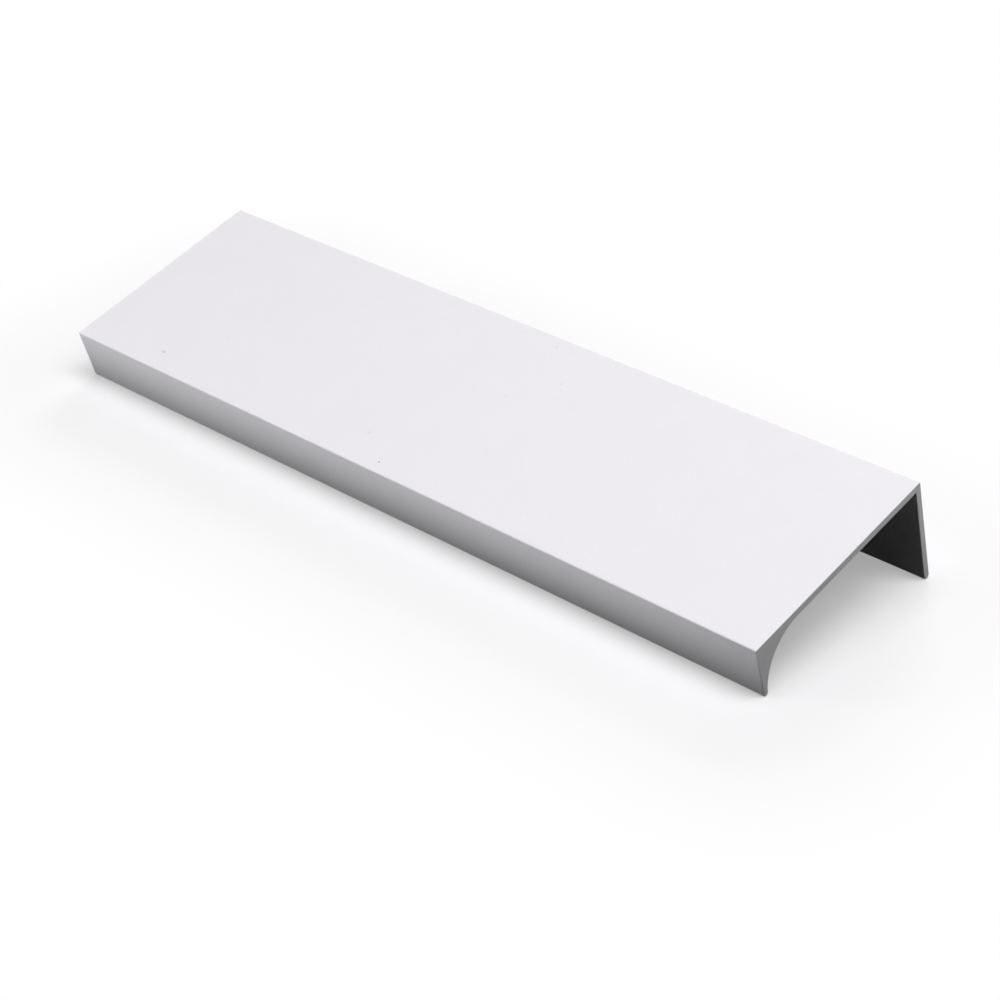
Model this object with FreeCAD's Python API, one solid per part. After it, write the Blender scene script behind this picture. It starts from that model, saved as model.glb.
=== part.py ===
import FreeCAD, Part
import math
import os

# Handleless finger pull: one piece of thin extruded profile, in millimetres, +Z up.
# The plate lies over a panel's top edge, the long leg is fixed behind the panel,
# and the short lip in front is what the fingers pull.
# It stands unheld on the feet of its lip and its leg, so the plate rises towards the back.
# X runs along the profile, the lip is at -Y and the leg at +Y.
# The origin is under the middle of the piece, on the surface that it stands on.

length = 160.0
depth = 43.5
plate_thickness = 1.4
leg_thickness = 1.3
leg_height = 21.0
lip_height = 10.5
lip_slant_deg = 1.5
lip_foot_radius = 0.5
grip_radius = 9.3
front_edge_radius = 0.25
back_edge_radius = 0.25
inner_corner_radius = 0.3
end_edge_radius = 0.12

hole_end_distance = 16.0
hole_diameter = 4.0
countersink_diameter = 5.8
countersink_angle_deg = 90.0

# The end rounding stays under half of the tightest corner, so that it can bend round it.
end_rounding_limit = 0.48
# How far a cutting tool runs past the wall's faces.
cut_past = 1.0
# Points nearer than this are one point of the outline.
same_point = 1e-6

quarter_turn = math.pi / 2
half_turn = math.pi
full_turn = 2 * math.pi

# The section is drawn with the plate level: y runs back from the lip's top front corner,
# and z is 0 on the plate's top face.
slant = math.radians(lip_slant_deg)

lip_foot_z = lip_foot_radius - lip_height
lip_foot_y = (lip_foot_radius - lip_foot_z * math.sin(slant)) / math.cos(slant)

leg_foot_radius = leg_thickness / 2
leg_foot_y = depth - leg_foot_radius
leg_foot_z = leg_foot_radius - leg_height

underside_z = -plate_thickness
leg_inner_y = depth - leg_thickness

# The grip hollow is tangent to the plate's underside and to the lip's rounded foot.
grip_z = underside_z - grip_radius
grip_to_foot = grip_radius + lip_foot_radius
grip_y = lip_foot_y + math.sqrt(grip_to_foot**2 - (grip_z - lip_foot_z) ** 2)

# The resting tilt brings the lowest points of both rounded feet to the same height.
feet_y = leg_foot_y - lip_foot_y
feet_z = lip_foot_z - leg_foot_z
feet_apart = math.hypot(feet_y, feet_z)
tilt = math.acos((lip_foot_radius - leg_foot_radius) / feet_apart) - math.atan2(feet_y, feet_z)

# The fixing holes are centred on the height of the leg's inner face.
hole_z = (underside_z - leg_height) / 2


def on_circle(centre_y, centre_z, radius, angle):
    return FreeCAD.Vector(0, centre_y + radius * math.cos(angle), centre_z + radius * math.sin(angle))


def arc(centre_y, centre_z, radius, start, end):
    """An arc about a centre, from one angle to another, in radians from +y towards +z."""
    angles = (start, (start + end) / 2, end)
    return Part.Arc(*[on_circle(centre_y, centre_z, radius, angle) for angle in angles]).toShape()


def back_edge():
    """From the top face to the leg's outer face."""
    return arc(depth - back_edge_radius, -back_edge_radius, back_edge_radius, quarter_turn, 0)


def leg_foot():
    """The full round under the leg, from its outer face to its inner one."""
    return arc(leg_foot_y, leg_foot_z, leg_foot_radius, 0, -half_turn)


def inner_corner():
    """The hollow corner from the leg's inner face to the plate's underside."""
    corner_y = leg_inner_y - inner_corner_radius
    corner_z = underside_z - inner_corner_radius
    return arc(corner_y, corner_z, inner_corner_radius, 0, quarter_turn)


def grip_and_lip_foot():
    """The finger hollow behind the lip, then the round under the lip to its outer face."""
    meeting = math.atan2(lip_foot_z - grip_z, lip_foot_y - grip_y) % full_turn
    hollow = arc(grip_y, grip_z, grip_radius, quarter_turn, meeting)
    foot = arc(lip_foot_y, lip_foot_z, lip_foot_radius, meeting - half_turn, slant - half_turn)
    return hollow, foot


def front_edge():
    """From the lip's outer face to the top face."""
    edge_y = front_edge_radius * (1 + math.sin(slant)) / math.cos(slant)
    return arc(edge_y, -front_edge_radius, front_edge_radius, slant + half_turn, quarter_turn)


def section_wire():
    """The closed outline: the round stretches in order, with straight runs where they don't touch."""
    rounds = [back_edge(), leg_foot(), inner_corner(), *grip_and_lip_foot(), front_edge()]
    outline = []
    for stretch, following in zip(rounds, rounds[1:] + rounds[:1]):
        leaves = stretch.lastVertex().Point
        arrives = following.firstVertex().Point
        outline.append(stretch)
        if not leaves.isEqual(arrives, same_point):
            outline.append(Part.makeLine(leaves, arrives))
    return Part.Wire(outline)


def extrusion():
    """The section drawn out along X, with the edges of its two cut ends slightly rounded."""
    face = Part.Face(section_wire())
    face.translate(FreeCAD.Vector(-length / 2, 0, 0))
    bar = face.extrude(FreeCAD.Vector(length, 0, 0))
    tightest = min(front_edge_radius, back_edge_radius, lip_foot_radius, leg_foot_radius)
    end_rounding = min(end_edge_radius, end_rounding_limit * tightest)
    end_edges = [edge for edge in bar.Edges if edge.BoundBox.XLength < end_rounding]
    return bar.makeFillet(end_rounding, end_edges)


def fixing_hole(x):
    """The drill for one fixing hole, with the countersink in the leg's outer face."""
    backwards = FreeCAD.Vector(0, 1, 0)
    hole_radius = hole_diameter / 2
    spread = math.tan(math.radians(countersink_angle_deg / 2))
    cone_depth = (countersink_diameter / 2 - hole_radius) / spread
    drill = Part.makeCylinder(
        hole_radius,
        leg_thickness + 2 * cut_past,
        FreeCAD.Vector(x, leg_inner_y - cut_past, hole_z),
        backwards,
    )
    countersink = Part.makeCone(
        hole_radius,
        countersink_diameter / 2 + cut_past * spread,
        cone_depth + cut_past,
        FreeCAD.Vector(x, depth - cone_depth, hole_z),
        backwards,
    )
    return drill.fuse(countersink)


def finger_pull():
    """The whole piece, tilted onto its two feet and set over the origin."""
    bar = extrusion()
    for side in (-1, 1):
        bar = bar.cut(fixing_hole(side * (length / 2 - hole_end_distance)))
    solid = bar.Solids[0]
    solid.rotate(FreeCAD.Vector(0, 0, 0), FreeCAD.Vector(1, 0, 0), math.degrees(tilt))
    box = solid.optimalBoundingBox(False, False)
    solid.translate(FreeCAD.Vector(0, -(box.YMin + box.YMax) / 2, -box.ZMin))
    return solid


os.makedirs("parts", exist_ok=True)
finger_pull().exportStep("parts/finger_pull_profile.step")
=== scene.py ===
import math

import bpy
from mathutils import Matrix, Vector


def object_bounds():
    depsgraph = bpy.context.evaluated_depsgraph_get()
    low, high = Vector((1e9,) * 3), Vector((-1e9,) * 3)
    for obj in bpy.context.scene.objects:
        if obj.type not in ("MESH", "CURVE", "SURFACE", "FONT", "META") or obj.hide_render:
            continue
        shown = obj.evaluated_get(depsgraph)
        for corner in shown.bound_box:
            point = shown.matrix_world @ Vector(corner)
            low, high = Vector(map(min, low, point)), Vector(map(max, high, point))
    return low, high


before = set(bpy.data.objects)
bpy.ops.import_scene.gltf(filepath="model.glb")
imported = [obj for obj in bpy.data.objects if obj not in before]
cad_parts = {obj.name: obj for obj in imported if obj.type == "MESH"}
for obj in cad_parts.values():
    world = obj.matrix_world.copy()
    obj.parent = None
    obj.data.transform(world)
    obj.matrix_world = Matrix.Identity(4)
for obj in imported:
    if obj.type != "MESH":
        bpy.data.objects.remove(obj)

# Looks of a white powder-coated finger pull, in metres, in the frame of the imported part.
NODE = "finger_pull_profile"
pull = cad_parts[NODE]
cad_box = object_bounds()
highest_corner = cad_box[1]
MM = 0.001

# The camera, fitted to the straight edges of the profile in the photograph.
CAMERA_PLACE = (0.2580, -0.2686, 0.2207)
CAMERA_TURN_DEG = 43.19
CAMERA_DOWN_DEG = 31.35
CAMERA_ROLL_DEG = 1.29
# A camera turned by 0 degrees looks straight down, and one turned by this looks level.
LEVEL_DEG = 90
SENSOR_WIDTH_MM = 36.0
LENS_MM = 87.76
# The photograph is square, and this many pixels wide.
PHOTO_SIZE = 1000

# Colours are linear. The coat is a white with a very slight lavender tint, and the cut ends
# are a little more neutral.
COAT_COLOR = (0.862, 0.852, 0.876, 1.0)
COAT_DEEP_COLOR = (0.853, 0.843, 0.867, 1.0)
COAT_GRAIN_COLOR = (0.838, 0.828, 0.852, 1.0)
CUT_END_COLOR = (0.852, 0.850, 0.853, 1.0)
CUT_END_DEEP_COLOR = (0.830, 0.828, 0.831, 1.0)
SPECK_COLOR = (0.05, 0.05, 0.10, 1.0)
WHITE = (1.0, 1.0, 1.0, 1.0)

# The patterns in the colour: about how large their lumps are, and the range of the noise over
# which one colour turns into the other. Saw streaks are drawn out along the height.
CLOUD_SIZE_MM = 9.0
CLOUD_DETAIL = 3.0
CLOUD_RANGE = (0.3, 0.7)
GRAIN_SIZE_MM = 0.35
GRAIN_RANGE = (0.45, 0.75)
STREAK_SIZE_MM = 0.35
STREAK_STRETCH = (1.0, 1.0, 0.05)
STREAK_RANGE = (0.3, 0.7)
FINE_DETAIL = 2.0

# The relief: the orange peel of the coat, its finer grain, and the saw streaks of the cut ends.
PEEL_SIZE_MM = 1.1
FINE_RELIEF_SIZE_MM = 0.22
FINE_RELIEF_SHARE = 0.25
SAW_RELIEF_SIZE_MM = 0.25
SAW_RELIEF_STRETCH = (1.0, 1.0, 0.04)
SMOOTH_DETAIL = 1.0
RELIEF_HEIGHT_MM = 0.006

# The gloss varies a little over patches of this size.
SHEEN_SIZE_MM = 3.0
SHEEN_RANGE = (0.2, 0.8)
ROUGHNESS = (0.52, 0.60)
SPECULAR_LEVEL = 0.15

# A face counts as a cut end as its normal comes to lie along X, from the first share to the last.
CUT_END_FACING = (0.90, 0.99)

# Dark specks of dust that show in the coat of the top face, read one by one: the pixel of the
# photograph where each lies, its radius in mm, and how dark it is.
SPECKS = [
    ((162, 351), 0.15, 0.3),
    ((163, 351), 0.15, 0.3),
    ((164, 352), 0.20, 0.4),
    ((165, 352), 0.20, 0.4),
    ((379, 462), 0.15, 0.9),
    ((368, 433), 0.10, 0.4),
    ((370, 432), 0.10, 0.4),
    ((506, 396), 0.10, 0.4),
    ((561, 384), 0.10, 0.5),
    ((557, 347), 0.10, 0.6),
    ((229, 337), 0.10, 0.3),
    ((443, 403), 0.05, 0.5),
    ((664, 415), 0.05, 0.5),
    ((508, 503), 0.05, 0.5),
    ((518, 532), 0.05, 0.5),
    ((537, 541), 0.05, 0.5),
]
# A speck fades out between these shares of its radius.
SPECK_FADE = (0.6, 1.3)

# Fine dust lies in cells of this width. It shows in those whose random number is over the
# threshold, and it fades out between these shares of the width.
DUST_SPACING_MM = 2.0
DUST_THRESHOLD = 0.8
DUST_FADE = (0.015, 0.035)
DUST_DARKNESS = 0.25

FLOOR_COLOR = (0.93, 0.93, 0.93, 1.0)
FLOOR_SIZE = 6.0
# The floor's share of plain white grows between these distances from the object's outline, so
# the shadow stays near the object.
FLOOR_FADE = (0.0, 0.045)
FLOOR_WHITE_SHARE = (0.35, 1.0)
OUTLINE_HALF_SIZE = (highest_corner.x, highest_corner.y, 0.0)
# How much light the floor throws back onto the object, painted into the floor's colour for the rays that
# light it:
# none from under and close around it, a painted shadow there, most from a little way off in front of the lip,
# and some from behind the right end.
FRONT_BOUNCE = 0.86
BACK_RIGHT_BOUNCE = 0.50
FRONT_BOUNCE_STARTS = (-0.0265, -0.038)
FRONT_BOUNCE_ENDS = (0.077, 0.096)
RIGHT_END_X = highest_corner.x
BACK_BOUNCE_Y = 0.030

# A strength of 1 shows plain white. The world's own light on the object is next to none.
WHITE_STRENGTH = 1.0
WORLD_LIGHT_STRENGTH = 0.002

# The soft lamps: place, width, watts and colour. Most light comes from above and the right, and
# some from low at the front left and from behind.
PLAIN_LIGHT = (1.0, 1.0, 1.0)
OVERHEAD_TINT = (1.0, 0.985, 1.025)
LAMPS = {
    "overhead_right": ((0.24, -0.06, 0.85), 0.4, 2.6, OVERHEAD_TINT),
    "overhead_front": ((0.0, -0.20, 0.84), 0.4, 1.8, OVERHEAD_TINT),
    "right_high": ((0.30, 0.0, 0.52), 0.3, 1.2, PLAIN_LIGHT),
    "front_left_low": ((-0.34, -0.34, 0.115), 0.165, 0.68, PLAIN_LIGHT),
    "back_left_low": ((-0.40, 0.85, 0.34), 0.5, 4.2, PLAIN_LIGHT),
}

# A Mix node has sockets of the same name for each type, so those for colours go by number.
MIX_FACTOR = 0
MIX_COLORS = (6, 7)
MIX_RESULT = 2


def feed(tree, socket, value):
    """Gives an input its value: another node's output, or a number, colour or vector."""
    if isinstance(value, bpy.types.NodeSocket):
        tree.links.new(value, socket)
    else:
        socket.default_value = value


def add_node(tree, kind, **values):
    """A shader node with its properties or inputs given by name."""
    node = tree.nodes.new(kind)
    for name, value in values.items():
        if name in node.inputs:
            feed(tree, node.inputs[name], value)
        else:
            setattr(node, name, value)
    return node


def math_node(tree, operation, *values):
    """The result of a Math node."""
    node = add_node(tree, "ShaderNodeMath", operation=operation)
    for socket, value in zip(node.inputs, values):
        feed(tree, socket, value)
    return node.outputs["Value"]


def vector_node(tree, operation, *values):
    """A Vector Math node. Its result is its Vector output, or Value where that is a length."""
    node = add_node(tree, "ShaderNodeVectorMath", operation=operation)
    for socket, value in zip(node.inputs, values):
        feed(tree, socket, value)
    return node


def ramp(tree, value, low, high, to_low=0.0, to_high=1.0):
    """A value brought smoothly from one range to another."""
    node = add_node(tree, "ShaderNodeMapRange", interpolation_type="SMOOTHSTEP", Value=value)
    for name, number in zip(("From Min", "From Max", "To Min", "To Max"), (low, high, to_low, to_high)):
        node.inputs[name].default_value = number
    return node.outputs["Result"]


def mix_colors(tree, amount, first, second):
    """A colour between two others."""
    node = add_node(tree, "ShaderNodeMix", data_type="RGBA")
    feed(tree, node.inputs[MIX_FACTOR], amount)
    for number, color in zip(MIX_COLORS, (first, second)):
        feed(tree, node.inputs[number], color)
    return node.outputs[MIX_RESULT]


def mix_shaders(tree, amount, first, second):
    """A node that shows the first node's shader where the amount is 0, and the second's at 1."""
    node = add_node(tree, "ShaderNodeMixShader", Fac=amount)
    for socket, shader in zip(node.inputs[1:], (first, second)):
        feed(tree, socket, shader.outputs[0])
    return node


def noise(tree, place, size_mm, detail=FINE_DETAIL, stretch=(1, 1, 1)):
    """Noise whose lumps have about the given size."""
    scale = [share / (size_mm * MM) for share in stretch]
    mapping = add_node(tree, "ShaderNodeMapping", Vector=place, Scale=scale)
    texture = add_node(tree, "ShaderNodeTexNoise", Vector=mapping.outputs["Vector"], Scale=1.0, Detail=detail)
    return texture.outputs["Fac"]


def new_material(name):
    """An empty material, and its node tree."""
    material = bpy.data.materials.new(name)
    material.use_nodes = True
    material.node_tree.nodes.clear()
    return material, material.node_tree


def camera_matrix():
    """Where the camera stands and how it is turned."""
    turn = Matrix.Rotation(math.radians(CAMERA_TURN_DEG), 4, "Z")
    down = Matrix.Rotation(math.radians(LEVEL_DEG - CAMERA_DOWN_DEG), 4, "X")
    roll = Matrix.Rotation(math.radians(-CAMERA_ROLL_DEG), 4, "Z")
    return Matrix.Translation(CAMERA_PLACE) @ turn @ down @ roll


def on_pull(pixel):
    """The point of the pull's surface that shows at a pixel of the photograph."""
    pixel_width = SENSOR_WIDTH_MM / PHOTO_SIZE
    right = (pixel[0] - PHOTO_SIZE / 2) * pixel_width
    up = (PHOTO_SIZE / 2 - pixel[1]) * pixel_width
    line_of_sight = camera_matrix().to_3x3() @ Vector((right, up, -LENS_MM))
    models = bpy.context.evaluated_depsgraph_get()
    hit, point, _normal, _face = pull.ray_cast(Vector(CAMERA_PLACE), line_of_sight, depsgraph=models)
    if not hit:
        raise ValueError(f"the pull doesn't show at pixel {pixel}")
    return point


def specks(tree, place):
    """How dark each point is with the photograph's specks of dust."""
    darkness = 0.0
    for pixel, radius, dark in SPECKS:
        distance = vector_node(tree, "DISTANCE", place, on_pull(pixel)).outputs["Value"]
        full, gone = [radius * MM * share for share in SPECK_FADE]
        spot = ramp(tree, distance, full, gone, dark, 0.0)
        darkness = math_node(tree, "MAXIMUM", spot, darkness)
    return darkness


def fine_dust(tree, place):
    """Very small, faint specks scattered all over."""
    cells = 1 / (DUST_SPACING_MM * MM)
    grains = add_node(tree, "ShaderNodeTexVoronoi", Vector=place, Scale=cells, Randomness=1.0)
    random_color = add_node(tree, "ShaderNodeSeparateColor", Color=grains.outputs["Color"])
    chosen = math_node(tree, "GREATER_THAN", random_color.outputs["Red"], DUST_THRESHOLD)
    spot = ramp(tree, grains.outputs["Distance"], *DUST_FADE, DUST_DARKNESS, 0.0)
    return math_node(tree, "MULTIPLY", spot, chosen)


def cut_end_mask(tree, coordinates):
    """1 on the two cut ends, 0 elsewhere."""
    normal = add_node(tree, "ShaderNodeSeparateXYZ", Vector=coordinates.outputs["Normal"])
    facing = math_node(tree, "ABSOLUTE", normal.outputs["X"])
    return ramp(tree, facing, *CUT_END_FACING)


def coat_color(tree, place, ends):
    """White with faint clouds and grain, specks of dust, and slight saw streaks on the cut ends."""
    clouds = noise(tree, place, CLOUD_SIZE_MM, CLOUD_DETAIL)
    coat = mix_colors(tree, ramp(tree, clouds, *CLOUD_RANGE), COAT_COLOR, COAT_DEEP_COLOR)
    grain = noise(tree, place, GRAIN_SIZE_MM)
    coat = mix_colors(tree, ramp(tree, grain, *GRAIN_RANGE), coat, COAT_GRAIN_COLOR)
    streaks = noise(tree, place, STREAK_SIZE_MM, stretch=STREAK_STRETCH)
    cut = mix_colors(tree, ramp(tree, streaks, *STREAK_RANGE), CUT_END_COLOR, CUT_END_DEEP_COLOR)
    surface = mix_colors(tree, ends, coat, cut)
    dust = math_node(tree, "MAXIMUM", specks(tree, place), fine_dust(tree, place))
    return mix_colors(tree, dust, surface, SPECK_COLOR)


def coat_bump(tree, place, ends):
    """The normal of the orange peel and its finer grain, with saw streaks on the cut ends."""
    peel = noise(tree, place, PEEL_SIZE_MM, SMOOTH_DETAIL)
    grain = noise(tree, place, FINE_RELIEF_SIZE_MM)
    streaks = noise(tree, place, SAW_RELIEF_SIZE_MM, SMOOTH_DETAIL, SAW_RELIEF_STRETCH)
    relief = math_node(tree, "ADD", peel, math_node(tree, "MULTIPLY", grain, FINE_RELIEF_SHARE))
    relief = math_node(tree, "ADD", relief, math_node(tree, "MULTIPLY", streaks, ends))
    bump = add_node(tree, "ShaderNodeBump", Strength=1.0, Distance=RELIEF_HEIGHT_MM * MM, Height=relief)
    return bump.outputs["Normal"]


def coat_roughness(tree, place):
    """Matt, and a little more so in patches."""
    return ramp(tree, noise(tree, place, SHEEN_SIZE_MM), *SHEEN_RANGE, *ROUGHNESS)


def coat_material():
    """The white powder coat, with the cut ends as part of it."""
    material, tree = new_material("white_powder_coat")
    coordinates = add_node(tree, "ShaderNodeTexCoord")
    place = coordinates.outputs["Object"]
    ends = cut_end_mask(tree, coordinates)
    shader = add_node(tree, "ShaderNodeBsdfPrincipled")
    shader.inputs["Specular IOR Level"].default_value = SPECULAR_LEVEL
    feed(tree, shader.inputs["Base Color"], coat_color(tree, place, ends))
    feed(tree, shader.inputs["Roughness"], coat_roughness(tree, place))
    feed(tree, shader.inputs["Normal"], coat_bump(tree, place, ends))
    add_node(tree, "ShaderNodeOutputMaterial", Surface=shader.outputs["BSDF"])
    return material


def pale_to_the_camera(tree):
    """1 for rays that show the floor or the sky itself, 0 for rays that light the object."""
    rays = add_node(tree, "ShaderNodeLightPath").outputs
    camera_or_glossy = math_node(tree, "MAXIMUM", rays["Is Camera Ray"], rays["Is Glossy Ray"])
    return math_node(tree, "MAXIMUM", camera_or_glossy, rays["Is Transmission Ray"])


def bounce(tree):
    """The share of light that the floor throws back, from its place around the object."""
    geometry = add_node(tree, "ShaderNodeNewGeometry")
    place = add_node(tree, "ShaderNodeSeparateXYZ", Vector=geometry.outputs["Position"])
    x, y = place.outputs["X"], place.outputs["Y"]
    # Painted shadow: the floor throws back nothing under and close around the object, and more further off.
    front = ramp(tree, y, *FRONT_BOUNCE_STARTS, 0.0, FRONT_BOUNCE)
    front = math_node(tree, "MULTIPLY", front, ramp(tree, x, *FRONT_BOUNCE_ENDS, 1.0, 0.0))
    back = math_node(tree, "MULTIPLY", math_node(tree, "GREATER_THAN", y, BACK_BOUNCE_Y), BACK_RIGHT_BOUNCE)
    back = math_node(tree, "MULTIPLY", back, math_node(tree, "GREATER_THAN", x, RIGHT_END_X))
    return math_node(tree, "MAXIMUM", front, back)


def floor_white_share(tree):
    """How much of the floor is plain white, from the distance to the object's outline."""
    geometry = add_node(tree, "ShaderNodeNewGeometry")
    from_middle = vector_node(tree, "ABSOLUTE", geometry.outputs["Position"]).outputs["Vector"]
    past_outline = vector_node(tree, "SUBTRACT", from_middle, OUTLINE_HALF_SIZE).outputs["Vector"]
    outside = vector_node(tree, "MAXIMUM", past_outline, (0, 0, 0)).outputs["Vector"]
    distance = vector_node(tree, "LENGTH", outside).outputs["Value"]
    return ramp(tree, distance, *FLOOR_FADE, *FLOOR_WHITE_SHARE)


def floor_material():
    """Pale with a shadow near the object, as the camera sees it, and throwing back some light."""
    material, tree = new_material("pale_floor")
    near = add_node(tree, "ShaderNodeBsdfDiffuse", Color=FLOOR_COLOR)
    white = add_node(tree, "ShaderNodeEmission", Color=WHITE, Strength=WHITE_STRENGTH)
    seen = mix_shaders(tree, floor_white_share(tree), near, white)
    bounced = add_node(tree, "ShaderNodeBsdfDiffuse", Color=bounce(tree))
    surface = mix_shaders(tree, pale_to_the_camera(tree), bounced, seen)
    add_node(tree, "ShaderNodeOutputMaterial", Surface=surface.outputs[0])
    return material


def make_floor():
    """A wide square floor under the feet of the pull."""
    half = FLOOR_SIZE / 2
    mesh = bpy.data.meshes.new("floor")
    corners = [(-half, -half, 0), (half, -half, 0), (half, half, 0), (-half, half, 0)]
    mesh.from_pydata(corners, [], [(0, 1, 2, 3)])
    mesh.materials.append(floor_material())
    floor = bpy.data.objects.new("floor", mesh)
    bpy.context.scene.collection.objects.link(floor)


def make_world():
    """White to the camera, and next to no light on the object, which the lamps light."""
    world = bpy.data.worlds.new("studio")
    world.use_nodes = True
    tree = world.node_tree
    tree.nodes.clear()
    white = add_node(tree, "ShaderNodeBackground", Color=WHITE, Strength=WHITE_STRENGTH)
    light = add_node(tree, "ShaderNodeBackground", Color=WHITE, Strength=WORLD_LIGHT_STRENGTH)
    surface = mix_shaders(tree, pale_to_the_camera(tree), light, white)
    add_node(tree, "ShaderNodeOutputWorld", Surface=surface.outputs[0])
    bpy.context.scene.world = world


def add_softbox(name, place, width, watts, color):
    """A square area light aimed at the object."""
    lamp = bpy.data.lights.new(name, "AREA")
    lamp.shape = "SQUARE"
    lamp.size = width
    lamp.energy = watts
    lamp.color = color
    light = bpy.data.objects.new(name, lamp)
    light.location = place
    light.rotation_euler = (-Vector(place)).to_track_quat("-Z", "Y").to_euler()
    light.visible_camera = False
    bpy.context.scene.collection.objects.link(light)


def make_camera():
    """The camera at the photograph's viewing angle."""
    camera_data = bpy.data.cameras.new("camera")
    camera_data.sensor_fit = "HORIZONTAL"
    camera_data.sensor_width = SENSOR_WIDTH_MM
    camera_data.lens = LENS_MM
    camera = bpy.data.objects.new("camera", camera_data)
    camera.matrix_world = camera_matrix()
    bpy.context.scene.collection.objects.link(camera)
    bpy.context.scene.camera = camera


pull.data.materials.clear()
pull.data.materials.append(coat_material())
make_floor()
make_world()
for name, lamp in LAMPS.items():
    add_softbox(name, *lamp)
make_camera()
bpy.context.scene.view_settings.view_transform = "Standard"
